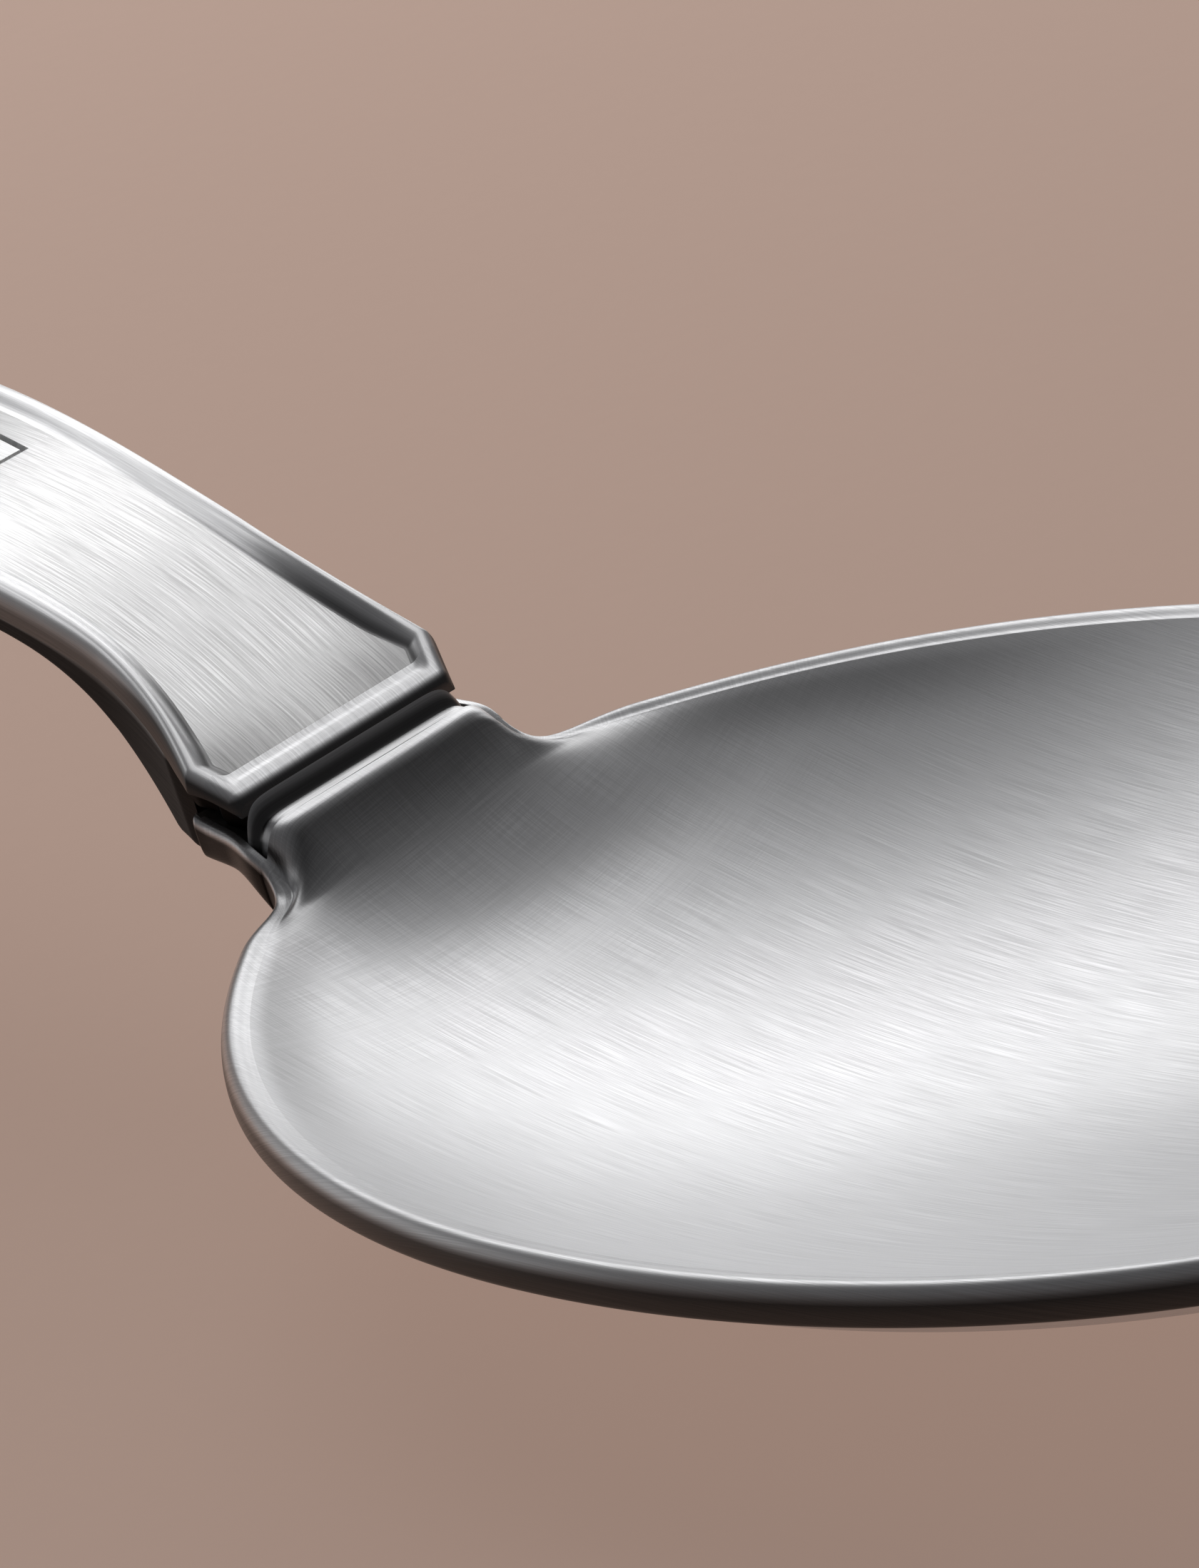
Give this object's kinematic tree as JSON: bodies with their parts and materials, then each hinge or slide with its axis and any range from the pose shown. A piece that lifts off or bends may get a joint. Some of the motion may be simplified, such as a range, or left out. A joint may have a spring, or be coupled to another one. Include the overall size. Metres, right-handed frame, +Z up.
{
  "type": "christening spoon",
  "caption": "Small christening spoon: oval bowl with a raised lip, beaded neck and an arched, widening handle with raised borders round a sunken panel and a bare name plate.",
  "frame": {"origin": "middle of the bounding box in plan, at the height of the surface the spoon lies on", "axes": "+X from the handle's end toward the bowl's tip, +Y across to the left side seen from the handle's end, +Z up out of the bowl"},
  "size_m": [0.1568, 0.034, 0.0165],
  "materials": {
    "bowl_steel": "fine brushed, strokes curving along the bowl",
    "handle_steel": "fine brushed along the handle",
    "border_steel": "brushed, worn bright on the crests",
    "plate_steel": "fine brushed along the handle, bare",
    "solder": "dull, hidden in the lap"
  },
  "bodies": {
    "root": {"bowl": "bowl_steel", "bowl_bead": "border_steel", "lap_solder": "solder", "handle_blade": "handle_steel", "neck_border": "border_steel", "left_border": "border_steel", "right_border": "border_steel", "end_border": "border_steel", "name_plate": "plate_steel"}
  },
  "joints": []
}
